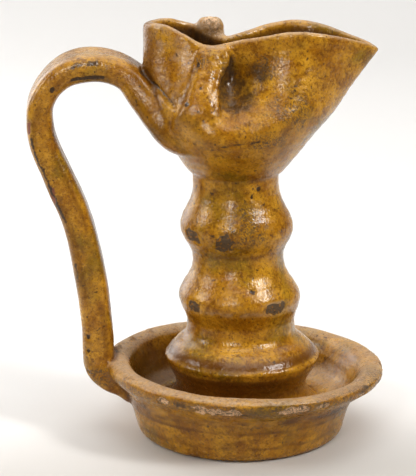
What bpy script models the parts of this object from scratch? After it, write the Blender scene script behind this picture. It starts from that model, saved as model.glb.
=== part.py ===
"""Pinched oil lamp on a ringed stem and a saucer foot, thrown and luted into one fired piece.

The lamp stands on Z = 0. The spout points to +X, the strap handle hangs at -X.
"""

import bpy
import numpy as np

MM = 0.001

# Saucer foot
FOOT_RADIUS = 35.8 * MM
TRAY_RADIUS = 50.1 * MM
TRAY_HEIGHT = 26.6 * MM
TRAY_FLOOR = 10.6 * MM
TRAY_WALL = 3.0 * MM
RIM_WIDTH = 8.0 * MM
LIP_DEPTH = 9.0 * MM
RIM_TILT = 1.6 * MM
RIM_DISH = 1.6 * MM
RIM_ROUND = 1.0 * MM
LIP_FLARE = 2.0 * MM
TRAY_OFFSET = 1.2 * MM
FOOT_BEVEL = 0.7 * MM
FOOT_BEVEL_HEIGHT = 1.5 * MM

# Stem, from the flange upwards
FLANGE_RADIUS = 27.9 * MM
FLANGE_HEIGHT = 28.8 * MM
FLANGE_UNDERCUT = 4.3 * MM
FLANGE_ROUND = 0.7 * MM
COLLAR_FILLET = 2.0 * MM
LOWER_WAIST_RADIUS = 19.4 * MM
LOWER_WAIST_HEIGHT = 41.5 * MM
LOWER_RING_RADIUS = 22.1 * MM
LOWER_RING_HEIGHT = 50.8 * MM
RIDGE_STEP = 0.4 * MM
RIDGE_DROP = 1.8 * MM
MIDDLE_WAIST_RADIUS = 16.4 * MM
MIDDLE_WAIST_HEIGHT = 66.0 * MM
UPPER_RING_RADIUS = 20.1 * MM
UPPER_RING_HEIGHT = 76.6 * MM
NECK_RADIUS = 15.4 * MM
NECK_HEIGHT = 92.5 * MM
STEM_HEIGHT = 97.0 * MM
STEM_OFFSET = 0.7 * MM
STEM_LEAN = 3.0 * MM
STEM_TOP_SPREAD = 0.1 * MM

# Bowl, a thrown cup squeezed to a spout
RIM_HEIGHT = 149.2 * MM
SPOUT_REACH = 47.4 * MM
BACK_REACH = 34.2 * MM
BELLY_HALF_WIDTH = 28.5 * MM
BOWL_WALL = 3.6 * MM
BOWL_FLOOR = 5.0 * MM
BOWL_ROOT = 3.0 * MM
LIP_ROUND = 0.8 * MM
FLOOR_DISH = 1.5 * MM
MOUTH_CLEARANCE = 6.0 * MM
PINCH_X = -5.0 * MM
PINCH_DEPTH = 8.0 * MM
PINCH_SWEEP = 8.0 * MM
PINCH_FRONT_SPREAD = 14.0 * MM
PINCH_BACK_SPREAD = 8.5 * MM
PINCH_DIP = 7.2 * MM
DIP_SETBACK = 4.5 * MM
SPOUT_DROP = 8.2 * MM
BACK_DROP = 0.8 * MM

# Strap handle
HANDLE_REACH = 76.4 * MM
HANDLE_TOP = 139.8 * MM
HANDLE_WIDTH = 21.0 * MM
HANDLE_THICKNESS = 9.2 * MM
STRAP_STANDOFF = 3.0 * MM
TAIL_REACH = 9.6 * MM

# Ears, two strips of clay pressed into the pinch
EAR_WIDTH = 10.5 * MM
EAR_THICKNESS = 7.0 * MM
EAR_SETBACK = 5.0 * MM
EAR_SWEEP = 7.6 * MM
EAR_CROWN = 2.6 * MM
FAR_EAR_RISE = 8.4 * MM

TURNED_SIDES = 44
BOWL_SIDES = 44
STRAP_SIDES = 14
WELD = 0.02 * MM

GLAZE = (0.36, 0.17, 0.035, 1.0)


def smooth(stations, values, position):
    """Value at a position on a curve that runs smoothly through the stations (cubic Hermite)."""
    stations = np.asarray(stations, float)
    values = np.asarray(values, float)
    slopes = np.gradient(values, stations)
    position = np.clip(position, stations[0], stations[-1])
    span = np.clip(np.searchsorted(stations, position, side="right") - 1, 0, len(stations) - 2)
    width = stations[span + 1] - stations[span]
    t = (position - stations[span]) / width
    return (
        (1 + 2 * t) * (1 - t) ** 2 * values[span]
        + t * (1 - t) ** 2 * width * slopes[span]
        + t**2 * (3 - 2 * t) * values[span + 1]
        + t**2 * (t - 1) * width * slopes[span + 1]
    )


def ramp(value, start, end):
    """0 before start, 1 after end, and a smooth step between them."""
    t = np.clip((value - start) / (end - start), 0, 1)
    return t * t * (3 - 2 * t)


def run(points, steps):
    """Points along a smooth line through a few (radius, height) points."""
    points = np.array(points)
    stations = np.arange(len(points))
    position = np.linspace(0, len(points) - 1, steps)
    return np.stack([smooth(stations, points[:, axis], position) for axis in (0, 1)], axis=1)


def swell(start, end, steps, power=1.0):
    """Points from one (radius, height) to the next along half a cosine wave, bent by a power."""
    t = np.linspace(0, 1, steps)
    wave = (0.5 - 0.5 * np.cos(np.pi * t)) ** power
    radius = start[0] + (end[0] - start[0]) * wave
    height = start[1] + (end[1] - start[1]) * t
    return np.stack([radius, height], axis=1)


def stem_outline():
    """Outline of the solid stem from its top, inside the bowl, down to the flange's edge."""
    neck = (NECK_RADIUS, NECK_HEIGHT)
    upper_ring = (UPPER_RING_RADIUS, UPPER_RING_HEIGHT)
    middle_waist = (MIDDLE_WAIST_RADIUS, MIDDLE_WAIST_HEIGHT)
    lower_ring = (LOWER_RING_RADIUS, LOWER_RING_HEIGHT)
    lower_waist = (LOWER_WAIST_RADIUS, LOWER_WAIST_HEIGHT)
    ridge = (LOWER_RING_RADIUS - RIDGE_STEP, LOWER_RING_HEIGHT - RIDGE_DROP)
    shoulder = (LOWER_WAIST_RADIUS + 0.28 * (FLANGE_RADIUS - LOWER_WAIST_RADIUS),
                LOWER_WAIST_HEIGHT + 0.51 * (FLANGE_HEIGHT - LOWER_WAIST_HEIGHT))
    slope = (FLANGE_RADIUS - 0.09 * (FLANGE_RADIUS - LOWER_WAIST_RADIUS),
             FLANGE_HEIGHT - 0.12 * (FLANGE_HEIGHT - LOWER_WAIST_HEIGHT))
    top = [(0, STEM_HEIGHT), (NECK_RADIUS + STEM_TOP_SPREAD, STEM_HEIGHT)]
    return np.concatenate([
        top,
        swell(neck, upper_ring, 8, 1.3),
        swell(upper_ring, middle_waist, 6)[1:],
        swell(middle_waist, lower_ring, 8, 1.4)[1:],
        [ridge],
        swell(ridge, lower_waist, 5, 0.7)[1:],
        run([lower_waist, shoulder, slope, (FLANGE_RADIUS, FLANGE_HEIGHT)], 7)[1:],
    ])


def tray_outline():
    """Outline of the tray from under the flange, over the floor and the rim, to the foot."""
    collar = FLANGE_RADIUS - FLANGE_UNDERCUT
    drop = FLANGE_HEIGHT - TRAY_FLOOR
    lip_foot = TRAY_HEIGHT - LIP_DEPTH
    wall = FOOT_RADIUS + 0.35 * (TRAY_RADIUS - FOOT_RADIUS)
    inside = wall - TRAY_WALL
    edge = TRAY_RADIUS - RIM_WIDTH
    floor_edge = FOOT_RADIUS - 2 * TRAY_WALL
    return np.concatenate([
        run([(FLANGE_RADIUS - FLANGE_ROUND, FLANGE_HEIGHT - 0.1 * drop),
             (collar, TRAY_FLOOR + 0.5 * drop),
             (collar + 0.1 * COLLAR_FILLET, TRAY_FLOOR + 0.25 * drop),
             (collar + COLLAR_FILLET, TRAY_FLOOR + 0.04 * drop)], 6),
        run([(floor_edge, TRAY_FLOOR),
             (inside - 0.2 * TRAY_WALL, TRAY_FLOOR + 0.28 * (TRAY_HEIGHT - TRAY_FLOOR)),
             (0.4 * inside + 0.6 * edge, TRAY_HEIGHT - 0.32 * (TRAY_HEIGHT - TRAY_FLOOR)),
             (edge, TRAY_HEIGHT - RIM_DISH)], 5),
        run([(edge + 0.25 * RIM_WIDTH, TRAY_HEIGHT - 0.125 * RIM_DISH),
             (edge + 0.65 * RIM_WIDTH, TRAY_HEIGHT),
             (TRAY_RADIUS - 0.6 * RIM_ROUND, TRAY_HEIGHT - RIM_ROUND),
             (TRAY_RADIUS, TRAY_HEIGHT - 0.35 * LIP_DEPTH),
             (TRAY_RADIUS - 0.6 * RIM_ROUND, TRAY_HEIGHT - 0.57 * LIP_DEPTH)], 6),
        run([(0.35 * wall + 0.65 * TRAY_RADIUS, lip_foot + 0.22 * LIP_DEPTH),
             (0.8 * wall + 0.2 * TRAY_RADIUS, lip_foot),
             (wall, lip_foot - LIP_FLARE)], 4),
        [(0.25 * wall + 0.75 * FOOT_RADIUS, FOOT_BEVEL_HEIGHT),
         (FOOT_RADIUS - FOOT_BEVEL, 0),
         (0, 0)],
    ])


def stem_shift(height):
    """How far the stem has leaned towards the handle at a height."""
    return STEM_OFFSET - STEM_LEAN * (height - FLANGE_HEIGHT) / (STEM_HEIGHT - FLANGE_HEIGHT)


def lean_and_tilt(point):
    """Move a turned point (x, y, z): the stem leans and the tray's rim tips to the spout side."""
    x, y, z = point.T
    on_stem = np.hypot(x, y) < FLANGE_RADIUS + WELD
    above_floor = np.clip((z - TRAY_FLOOR) / (TRAY_HEIGHT - TRAY_FLOOR), 0, 1)
    leaned = x + stem_shift(np.maximum(z, FLANGE_HEIGHT)) * above_floor
    pushed = x + TRAY_OFFSET * above_floor
    dropped = z - RIM_TILT * above_floor * x / TRAY_RADIUS
    return np.stack([np.where(on_stem, leaned, pushed), y, np.where(on_stem, z, dropped)], axis=1)


def rim_height(x):
    """Height of the bowl's rim over x: a dip at the pinch and a fall towards the spout."""
    lengths = [-BACK_REACH, -0.8 * BACK_REACH, PINCH_X - DIP_SETBACK, 0.05 * SPOUT_REACH,
               0.4 * SPOUT_REACH, 0.7 * SPOUT_REACH, SPOUT_REACH]
    drops = [BACK_DROP, 0, PINCH_DIP, 0.65 * PINCH_DIP, 0.2 * SPOUT_DROP, 0.5 * SPOUT_DROP,
             SPOUT_DROP]
    return RIM_HEIGHT - smooth(lengths, drops, x)


def bowl_ring(share, inset=0.0, lift=0.0, bottom=STEM_HEIGHT):
    """Ring of the bowl at a share of its height.

    Each half of the plan is a quarter ellipse, from the stem to the spout or to the back,
    made narrow at the pinch and pointed at the spout as the share grows.
    """
    angle = np.linspace(0, 2 * np.pi, BOWL_SIDES, endpoint=False)
    levels = [0, 0.12, 0.25, 0.42, 0.62, 0.82, 1.0]
    front = SPOUT_REACH * smooth(levels, [0.31, 0.42, 0.535, 0.68, 0.81, 0.93, 1.0], share)
    back = BACK_REACH * smooth(levels, [0.56, 0.68, 0.82, 0.945, 0.995, 1.0, 1.0], share)
    half_width = BELLY_HALF_WIDTH * smooth(levels, [0.585, 0.77, 0.91, 1.0, 0.84, 0.70, 0.66], share)
    front = front - inset
    back = back - inset
    half_width = half_width - inset
    along = np.cos(angle)
    x = 0.5 * (front - back) + 0.5 * (front + back) * along
    pinch_x = PINCH_X + PINCH_SWEEP * (1 - share)
    spread = np.where(x > pinch_x, PINCH_FRONT_SPREAD, PINCH_BACK_SPREAD)
    pinch = PINCH_DEPTH * np.exp(-(((x - pinch_x) / spread) ** 2)) * ramp(share, 0.22, 0.72)
    point = 1 - 0.5 * ramp(along, 0.45, 1.0) * ramp(share, 0.2, 1.0)
    y = (half_width * point - pinch) * np.sin(angle)
    z = bottom + share * (rim_height(x) - bottom) + lift
    return np.stack([x, y, z], axis=1)


def bowl_rings():
    """Rings of the bowl's outer skin from inside the stem's top to the rim."""
    root = bowl_ring(0)
    centre = stem_shift(STEM_HEIGHT)
    rings = [root * (0.7, 0.7, 1) + (0.3 * centre, 0, -BOWL_ROOT)]
    rings += [bowl_ring(share) for share in (0.0, 0.06, 0.13, 0.21, 0.3, 0.4, 0.5, 0.6, 0.7,
                                             0.8, 0.9, 0.975)]
    rings.append(bowl_ring(1.0, inset=LIP_ROUND))
    rings.append(bowl_ring(1.0, inset=1.6 * BOWL_WALL))
    return rings


def hollow_rings():
    """Rings of the oil space from its floor out through the mouth."""
    floor = STEM_HEIGHT + BOWL_FLOOR
    base = bowl_ring(0.1, inset=BOWL_WALL, bottom=floor)
    middle = base.mean(axis=0)
    rings = [(base - middle) * (0.6, 0.6, 1) + middle + (0, 0, -FLOOR_DISH - base[0, 2] + floor)]
    for share in (0.1, 0.2, 0.3, 0.42, 0.55, 0.7, 0.85, 1.0):
        rings.append(bowl_ring(share, inset=BOWL_WALL * (1.35 - 0.4 * share), bottom=floor))
    rings.append(bowl_ring(1.0, inset=0.95 * BOWL_WALL, lift=MOUTH_CLEARANCE, bottom=floor))
    return rings


def rounded_section(centre, across, through):
    """Rounded oblong about a centre, from its half-width and half-thickness vectors."""
    angle = np.linspace(0, 2 * np.pi, STRAP_SIDES, endpoint=False) + np.pi / STRAP_SIDES
    u = np.sign(np.cos(angle)) * np.abs(np.cos(angle)) ** 0.55
    v = np.sign(np.sin(angle)) * np.abs(np.sin(angle)) ** 0.55
    return centre + np.outer(u, across) + np.outer(v, through)


def handle_rings():
    """Sections of the strap, from its spread root in the bowl's back to its tail on the tray."""
    half = 0.5 * HANDLE_THICKNESS
    left = -HANDLE_REACH + half
    crown = HANDLE_TOP - 1.08 * half
    back = -BACK_REACH
    edge = -TRAY_RADIUS
    drop = crown - TRAY_HEIGHT
    gap = back - left
    path = np.array([
        (back + 0.52 * gap, crown - 0.222 * drop),
        (back + 0.31 * gap, crown - 0.207 * drop),
        (back + 0.14 * gap, crown - 0.162 * drop),
        (back, crown - 0.098 * drop),
        (back - 0.15 * gap, crown - 0.036 * drop),
        (back - 0.36 * gap, crown - 0.003 * drop),
        (back - 0.57 * gap, crown),
        (back - 0.75 * gap, crown - 0.019 * drop),
        (back - 0.89 * gap, crown - 0.061 * drop),
        (back - 0.98 * gap, crown - 0.117 * drop),
        (left, crown - 0.175 * drop),
        (left + 0.03 * gap, crown - 0.26 * drop),
        (left + 0.17 * gap, crown - 0.38 * drop),
        (0.36 * left + 0.64 * (edge - 0.67 * STRAP_STANDOFF), crown - 0.52 * drop),
        (0.15 * left + 0.85 * (edge - 0.53 * STRAP_STANDOFF), crown - 0.705 * drop),
        (edge - STRAP_STANDOFF, TRAY_HEIGHT + 0.17 * drop),
        (edge - 0.73 * STRAP_STANDOFF, TRAY_HEIGHT + 0.05 * drop),
        (edge - 0.33 * STRAP_STANDOFF, TRAY_HEIGHT - 0.20 * LIP_DEPTH),
        (edge + 0.27 * TAIL_REACH, TRAY_HEIGHT - 0.80 * LIP_DEPTH),
        (edge + 0.69 * TAIL_REACH, TRAY_HEIGHT - 1.20 * LIP_DEPTH),
        (edge + TAIL_REACH, TRAY_HEIGHT - 1.75 * LIP_DEPTH),
    ])
    stations = np.arange(len(path))
    thickness = HANDLE_THICKNESS * smooth([0, 1, 2, 3, 4, 6, 10, 13, 16, 17, 18, 19, 20],
                                          [1.9, 1.75, 1.3, 1.27, 1.12, 1.1, 0.92, 0.98, 1.05, 1.1,
                                           0.95, 0.7, 0.4], stations)
    width = HANDLE_WIDTH * smooth([0, 1, 2, 3, 4, 6, 16, 17, 18, 19, 20],
                                  [1.6, 1.5, 1.25, 1.08, 1.0, 1.0, 1.0, 1.05, 1.05, 0.9, 0.6],
                                  stations)
    position = np.linspace(0, len(path) - 1, 2 * len(path) - 1)
    x, z, thick, wide = (smooth(stations, row, position)
                         for row in (path[:, 0], path[:, 1], thickness, width))
    along = np.stack([np.gradient(x), np.gradient(z)], axis=1)
    along /= np.linalg.norm(along, axis=1)[:, None]
    rings = []
    for i in range(len(position)):
        centre = np.array([x[i], 0, z[i]])
        through = np.array([-along[i, 1], 0, along[i, 0]]) * 0.5 * thick[i]
        rings.append(rounded_section(centre, np.array([0, 0.5 * wide[i], 0]), through))
    return rings


def ear_rings(side, rise):
    """Sections of an ear, down the pinch on one side (-1 near, 1 far), its top raised by rise."""
    top = RIM_HEIGHT - PINCH_DIP
    deep = top - STEM_HEIGHT
    pinch = PINCH_X - EAR_SETBACK
    gap = BELLY_HALF_WIDTH * 0.66 - PINCH_DEPTH
    out = BELLY_HALF_WIDTH - gap
    lap = 0.35 * rise
    path = np.array([
        (pinch - EAR_SWEEP, gap + 0.74 * out, top - 0.68 * deep),
        (pinch - 0.84 * EAR_SWEEP, gap + 0.70 * out, top - 0.58 * deep),
        (pinch - 0.68 * EAR_SWEEP, gap + 0.64 * out, top - 0.48 * deep),
        (pinch - 0.53 * EAR_SWEEP, gap + 0.52 * out, top - 0.38 * deep),
        (pinch - 0.37 * EAR_SWEEP, gap + 0.38 * out, top - 0.29 * deep),
        (pinch - 0.21 * EAR_SWEEP, gap + 0.25 * out, top - 0.19 * deep),
        (pinch - 0.07 * EAR_SWEEP, gap + 0.14 * out, top - 0.09 * deep),
        (pinch, gap + 0.06 * out - 0.5 * lap, top - EAR_CROWN + 0.7 * rise),
        (pinch + 0.03 * EAR_SWEEP, gap + 0.02 * out - lap, top - 0.15 * EAR_CROWN + 0.97 * rise),
        (pinch + 0.03 * EAR_SWEEP, gap + 0.02 * out - lap, top + rise),
    ])
    wide = 0.5 * EAR_WIDTH * np.array([1.2, 1.2, 1.05, 0.9, 0.84, 0.9, 1.02, 1.05, 0.85, 0.55])
    thick = 0.5 * EAR_THICKNESS * np.array([0.4, 0.7, 0.9, 1.0, 1.0, 1.0, 1.0, 1.0, 0.8, 0.5])
    path[:, 1] *= side
    along = np.gradient(path, axis=0)
    along /= np.linalg.norm(along, axis=1)[:, None]
    across = np.cross(along, (0.0, side, 0.0))
    across /= np.linalg.norm(across, axis=1)[:, None]
    through = np.cross(across, along)
    return [rounded_section(path[i], wide[i] * across[i], thick[i] * through[i])
            for i in range(len(path))]


def new_object(name, collection, mesh):
    item = bpy.data.objects.new(name, mesh)
    collection.objects.link(item)
    return item


def loft(name, collection, rings):
    """Closed mesh through rings of equally many points, with a flat cap at each end."""
    count = len(rings[0])
    points = np.concatenate(rings)
    step = np.arange(count)
    ahead = (step + 1) % count
    faces = [tuple(step[::-1]), tuple(step + count * (len(rings) - 1))]
    for level in range(len(rings) - 1):
        low = count * level
        high = low + count
        faces += list(zip(step + low, ahead + low, ahead + high, step + high))
    mesh = bpy.data.meshes.new(name)
    mesh.from_pydata(points.tolist(), [], [tuple(int(i) for i in face) for face in faces])
    return new_object(name, collection, mesh)


def face_outwards(item):
    """Turn a closed mesh whose volume comes out negative the right way round."""
    mesh = item.data
    corners = np.array([mesh.vertices[i].co[:] for polygon in mesh.polygons
                        for i in fan(polygon.vertices)]).reshape(-1, 3, 3)
    volume = np.einsum("ij,ij->i", corners[:, 0], np.cross(corners[:, 1], corners[:, 2])).sum()
    if volume < 0:
        mesh.flip_normals()


def fan(corners):
    """Corner numbers of the triangles that fan out from a face's first corner."""
    for second, third in zip(corners[1:], corners[2:]):
        yield from (corners[0], second, third)


def turned_body(collection):
    """Tray and stem: one outline spun round Z, then leaned and tilted."""
    outline = np.concatenate([stem_outline(), tray_outline()])
    points = [(radius, 0, height) for radius, height in outline.tolist()]
    mesh = bpy.data.meshes.new("turned_outline")
    mesh.from_pydata(points, [(i, i + 1) for i in range(len(points) - 1)], [])
    profile = new_object("turned_outline", collection, mesh)
    screw = profile.modifiers.new("turn", "SCREW")
    screw.axis = "Z"
    screw.angle = 2 * np.pi
    screw.steps = TURNED_SIDES
    screw.render_steps = TURNED_SIDES
    screw.use_merge_vertices = True
    screw.merge_threshold = WELD
    screw.use_smooth_shade = True
    depsgraph = bpy.context.evaluated_depsgraph_get()
    turned = bpy.data.meshes.new_from_object(profile.evaluated_get(depsgraph))
    bpy.data.objects.remove(profile)
    flat = np.empty(len(turned.vertices) * 3)
    turned.vertices.foreach_get("co", flat)
    turned.vertices.foreach_set("co", lean_and_tilt(flat.reshape(-1, 3)).ravel())
    return new_object("oil_lamp", collection, turned)


def glaze_material():
    material = bpy.data.materials.new("amber_glaze")
    material.use_nodes = True
    shader = material.node_tree.nodes["Principled BSDF"]
    shader.inputs["Base Color"].default_value = GLAZE
    shader.inputs["Roughness"].default_value = 0.25
    shader.inputs["Metallic"].default_value = 0.0
    material.diffuse_color = GLAZE
    return material


def lute(body, piece, operation):
    """Join a piece to the body, or cut it out, with an exact Boolean."""
    face_outwards(piece)
    piece.hide_render = True
    piece.display_type = "WIRE"
    joint = body.modifiers.new(piece.name, "BOOLEAN")
    joint.operation = operation
    joint.solver = "EXACT"
    joint.object = piece


def main():
    for item in list(bpy.data.objects):
        bpy.data.objects.remove(item)
    lamp = bpy.data.collections.new("glazed_oil_lamp")
    tools = bpy.data.collections.new("cutters")
    bpy.context.scene.collection.children.link(lamp)
    bpy.context.scene.collection.children.link(tools)
    body = turned_body(lamp)
    face_outwards(body)
    body.data.materials.append(glaze_material())
    lute(body, loft("thrown_cup", tools, bowl_rings()), "UNION")
    lute(body, loft("strap_handle", tools, handle_rings()), "UNION")
    lute(body, loft("oil_space", tools, hollow_rings()), "DIFFERENCE")
    lute(body, loft("near_ear", tools, ear_rings(-1, 0.0)), "UNION")
    lute(body, loft("far_ear", tools, ear_rings(1, FAR_EAR_RISE)), "UNION")
    body.data.shade_smooth()
    body.data.set_sharp_from_angle(angle=np.radians(35))


main()
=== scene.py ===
"""Pinched earthenware oil lamp under an amber lead glaze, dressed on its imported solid.

The lamp stands on Z = 0 with its spout to +X and its strap handle at -X. Shapes are worked out
in millimetres, and meshes are made in metres.
"""

import bmesh
import bpy
import numpy as np
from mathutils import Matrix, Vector


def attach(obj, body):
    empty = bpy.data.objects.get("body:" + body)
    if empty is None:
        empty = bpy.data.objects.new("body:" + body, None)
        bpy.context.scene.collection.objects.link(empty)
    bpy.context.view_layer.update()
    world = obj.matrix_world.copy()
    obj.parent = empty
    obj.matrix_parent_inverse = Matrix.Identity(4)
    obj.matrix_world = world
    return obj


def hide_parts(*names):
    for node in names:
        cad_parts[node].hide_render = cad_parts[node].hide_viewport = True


bl_info = {
    "name": "Glazed Oil Lamp",
    "version": (1, 0, 0),
    "blender": (4, 5, 0),
    "location": "View3D > Sidebar > Oil Lamp",
    "description": "Pinched oil lamp on a ringed stem and saucer, with amber glaze and studio",
    "category": "Object",
}

MM = 0.001
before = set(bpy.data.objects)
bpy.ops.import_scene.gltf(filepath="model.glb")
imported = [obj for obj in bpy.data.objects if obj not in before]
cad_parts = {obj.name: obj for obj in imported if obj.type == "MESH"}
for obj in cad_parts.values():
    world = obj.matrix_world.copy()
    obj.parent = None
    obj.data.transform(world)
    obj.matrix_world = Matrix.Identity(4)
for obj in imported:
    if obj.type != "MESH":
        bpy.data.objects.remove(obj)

# Saucer foot
FOOT_RADIUS = 35.8
TRAY_RADIUS = 50.1
TRAY_HEIGHT = 26.6
TRAY_FLOOR = 10.6
TRAY_WALL = 3.0
RIM_WIDTH = 8.0
LIP_DEPTH = 9.0
RIM_TILT = 1.6
RIM_DISH = 1.6
RIM_ROUND = 1.0
LIP_FLARE = 2.0
TRAY_OFFSET = 1.8
FOOT_BEVEL = 0.7
FOOT_BEVEL_HEIGHT = 1.5

# Stem, from the flange upwards
FLANGE_RADIUS = 27.9
FLANGE_HEIGHT = 28.8
FLANGE_UNDERCUT = 4.3
FLANGE_ROUND = 0.7
FLANGE_LIP = 1.6
COLLAR_FILLET = 2.0
LOWER_WAIST = (19.4, 41.5)
LOWER_RING = (22.1, 50.8)
RIDGE = (21.7, 49.0)
MIDDLE_WAIST = (16.4, 66.0)
UPPER_RING = (20.1, 76.6)
NECK = (15.4, 92.5)
STEM_HEIGHT = 97.0
STEM_OFFSET = 0.7
STEM_LEAN = 3.0

# Bowl, a thrown cup squeezed to a spout; the mouth's clearance is how far its inner skin is
# carried on above the rim when the strap is trimmed
RIM_HEIGHT = 149.2
SPOUT_REACH = 47.4
BACK_REACH = 34.2
BELLY_HALF_WIDTH = 28.5
BOWL_WALL = 3.6
BOWL_FLOOR = 5.0
BOWL_ROOT = 3.0
FLOOR_DISH = 1.5
PINCH_X = -5.0
PINCH_DEPTH = 8.0
PINCH_SWEEP = 8.0
PINCH_FRONT_SPREAD = 14.0
PINCH_BACK_SPREAD = 8.5
PINCH_DIP = 7.2
DIP_SETBACK = 4.5
SPOUT_DROP = 8.2
BACK_DROP = 0.8
LIP_ROUND = 0.8
MOUTH_CLEARANCE = 6.0

# Bowl's plan over shares of its height: shares of the two reaches and of the half-width
BOWL_LEVELS = [0, 0.12, 0.25, 0.42, 0.62, 0.82, 1.0]
SPOUT_SHARES = [0.31, 0.42, 0.535, 0.68, 0.81, 0.93, 1.02]
BACK_SHARES = [0.56, 0.68, 0.82, 0.945, 0.995, 1.0, 1.0]
WIDTH_SHARES = [0.585, 0.77, 0.91, 1.0, 0.84, 0.70, 0.66]

# Strap handle. Its twist is in degrees, its swell is a share of the thickness, and its shift is
# a length towards the loop
HANDLE_REACH = 76.4
HANDLE_TOP = 139.8
HANDLE_WIDTH = 21.0
HANDLE_THICKNESS = 9.2
STRAP_STANDOFF = 3.0
TAIL_REACH = 9.6
STRAP_TWIST = 5.0
STRAP_SWELL = 0.30
STRAP_SHIFT = 0.7

# Strap's stations, with shares of its thickness and of its width
STRAP_THICKNESS = [(0, 1.9), (1, 1.75), (2, 1.3), (3, 1.27), (4, 1.12), (6, 1.1), (10, 0.92),
                   (13, 0.98), (16, 1.05), (17, 1.1), (18, 0.95), (19, 0.7), (20, 0.4)]
STRAP_WIDTH = [(0, 1.8), (1, 1.75), (2, 1.6), (3, 1.25), (4, 1.04), (6, 1.0), (16, 1.0),
               (17, 1.05), (18, 1.05), (19, 0.9), (20, 0.6)]

# Ears, two strips of clay pressed into the pinch, the far one rising over the rim. The slope, fold
# and press are depths in an ear's face, and the fold's place is a share of its half-width
EAR_WIDTH = 10.5
EAR_THICKNESS = 7.0
EAR_SETBACK = 5.0
EAR_SWEEP = 7.6
EAR_CROWN = 2.6
FAR_EAR_RISE = 7.0
EAR_SLOPE = 0.7
FOLD_DEPTH = 1.1
FOLD_PLACE = 0.5
PRESS_DEPTH = 1.2

# Rim's height that the softening takes off, and how much higher the rim stays at the far side
RIM_SPARE = 0.5
FAR_RIM_RISE = 2.4

# Dents in the near wall, or a swelling where the depth is negative: depth, middle in x and z,
# reach behind and ahead, spread in z
DENTS = [
    (4.4, -4.6, 128.5, 3.2, 7.0, 8.0),
    (0.7, -19.5, 129.0, 6.0, 3.5, 9.0),
    (-1.3, -14.0, 112.0, 9.0, 9.0, 6.5),
]

# Chips in the rim's front: centre and reach along x, y, z
CHIPS = [
    ((-13.5, -47.8, 21.9), (5.4, 4.0, 2.6)),
    ((-4.0, -49.2, 22.2), (4.6, 4.0, 2.2)),
    ((17.5, -47.3, 22.6), (7.0, 4.0, 2.0)),
    ((28.0, -42.5, 22.8), (2.6, 3.0, 1.4)),
    ((41.5, -26.0, 22.6), (2.0, 4.0, 1.6)),
    ((-27.5, -41.0, 24.0), (2.2, 3.0, 1.2)),
]

# Patches on the rings where the glaze is worn through
WORN = [
    ((-6.4, -19.0, 74.0), (4.0, 4.0, 3.4)),
    ((-17.6, -11.0, 75.4), (3.8, 4.0, 2.6)),
    ((-16.8, -13.7, 50.2), (4.2, 4.0, 2.4)),
    ((12.6, -17.9, 50.6), (6.4, 4.0, 2.4)),
    ((6.0, 18.5, 75.8), (4.0, 4.0, 2.6)),
    ((-14.0, 16.5, 50.2), (4.0, 4.0, 2.2)),
]

# Fields of fine dark scratches and specks
SCRATCHED = [
    ((1.5, -18.5, 77.5), (8.0, 6.0, 5.5)),
    ((2.0, -18.0, 84.0), (6.5, 6.0, 4.0)),
    ((8.0, -15.8, 135.4), (6.5, 5.0, 5.0)),
    ((10.0, -25.0, 111.5), (9.0, 6.0, 3.0)),
    ((-14.0, -16.0, 137.0), (3.5, 4.0, 4.0)),
    ((17.0, -22.0, 122.0), (9.0, 6.0, 7.0)),
]

# Skin of the glaze puckered, so that its highlights break up
PUCKERED = [
    ((-5.0, -24.0, 119.8), (5.5, 9.0, 5.0)),
    ((11.0, -24.0, 118.5), (8.0, 9.0, 4.5)),
    ((28.0, -15.0, 131.0), (11.0, 12.0, 9.0)),
]

# Reddish bare spots down the strap's outer edge
RUBBED = [
    ((-74.4, -9.0, 113.5), (1.1, 2.2, 3.0)),
    ((-66.5, -8.8, 89.0), (1.2, 2.2, 3.6)),
]

# Small open pits, with their radius; the dark laid in them is painted shade of the holes
PITS = [
    ((-65.7, -9.7, 126.4), 0.65),
    ((-54.7, -10.2, 37.8), 0.8),
    ((-54.8, -10.1, 32.5), 0.8),
    ((-55.0, -9.6, 24.5), 0.9),
    ((-29.0, -13.0, 117.1), 1.1),
    ((-14.1, -21.4, 129.4), 0.9),
    ((-13.8, -25.1, 120.1), 0.9),
    ((-15.2, -17.1, 136.9), 0.8),
    ((-18.9, -23.6, 124.3), 1.0),
    ((6.0, -13.1, 92.7), 0.9),
    ((3.6, -14.4, 90.2), 0.7),
    ((3.7, -18.9, 57.0), 1.0),
]

# Grey-brown stains, and painted shade in the hollow right of the near ear (the first three): centre
# and reach
STAINS_AND_SHADE = [
    ((-4.6, -14.0, 130.0), (5.5, 8.0, 10.0)),
    ((-1.5, -17.5, 125.0), (7.0, 8.0, 6.5)),
    ((5.0, -16.0, 134.0), (5.0, 7.0, 3.4)),
    ((-45.3, 3.1, 28.0), (1.6, 2.6, 1.8)),
    ((33.5, -26.0, 15.5), (3.0, 4.0, 2.4)),
    ((-2.0, -24.0, 16.5), (3.0, 3.0, 2.4)),
]

# Grooves on the near side: path in x and z, half-width, depth and darkness, the darkness being
# painted shade
GROOVES = [
    ([(-34.6, 133.4), (-31.9, 130.6), (-29.0, 128.2), (-26.2, 125.6), (-23.8, 123.2)],
     0.8, 1.2, 0.6),
    # Painted shade alone, with no depth, along the near ear's left edge
    ([(-15.9, 140.0), (-17.4, 132.3), (-19.6, 126.0), (-22.4, 120.5), (-23.4, 117.0)],
     1.6, 0.0, 0.2),
    ([(-7.0, 110.2), (-1.0, 111.3), (4.5, 111.7), (7.0, 112.6)], 0.5, 0.4, 0.7),
    ([(-6.3, 138.0), (-7.6, 131.0), (-9.0, 126.5), (-9.2, 121.5)], 0.9, 0.5, 0.45),
]

# Joints smeared shut with a finger: the near ear's handle side and foot, and the far ear's
JOINTS = [
    ((-20.5, -17.0, 122.0), (7.0, 14.0, 15.0)),
    ((-16.0, -22.0, 112.0), (14.0, 14.0, 9.0)),
    ((-19.0, 15.0, 128.0), (8.0, 12.0, 16.0)),
]
FILL_ROUNDS = 50
FILL_SHARE = 0.6
FILL_LIMIT = 0.8

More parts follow.
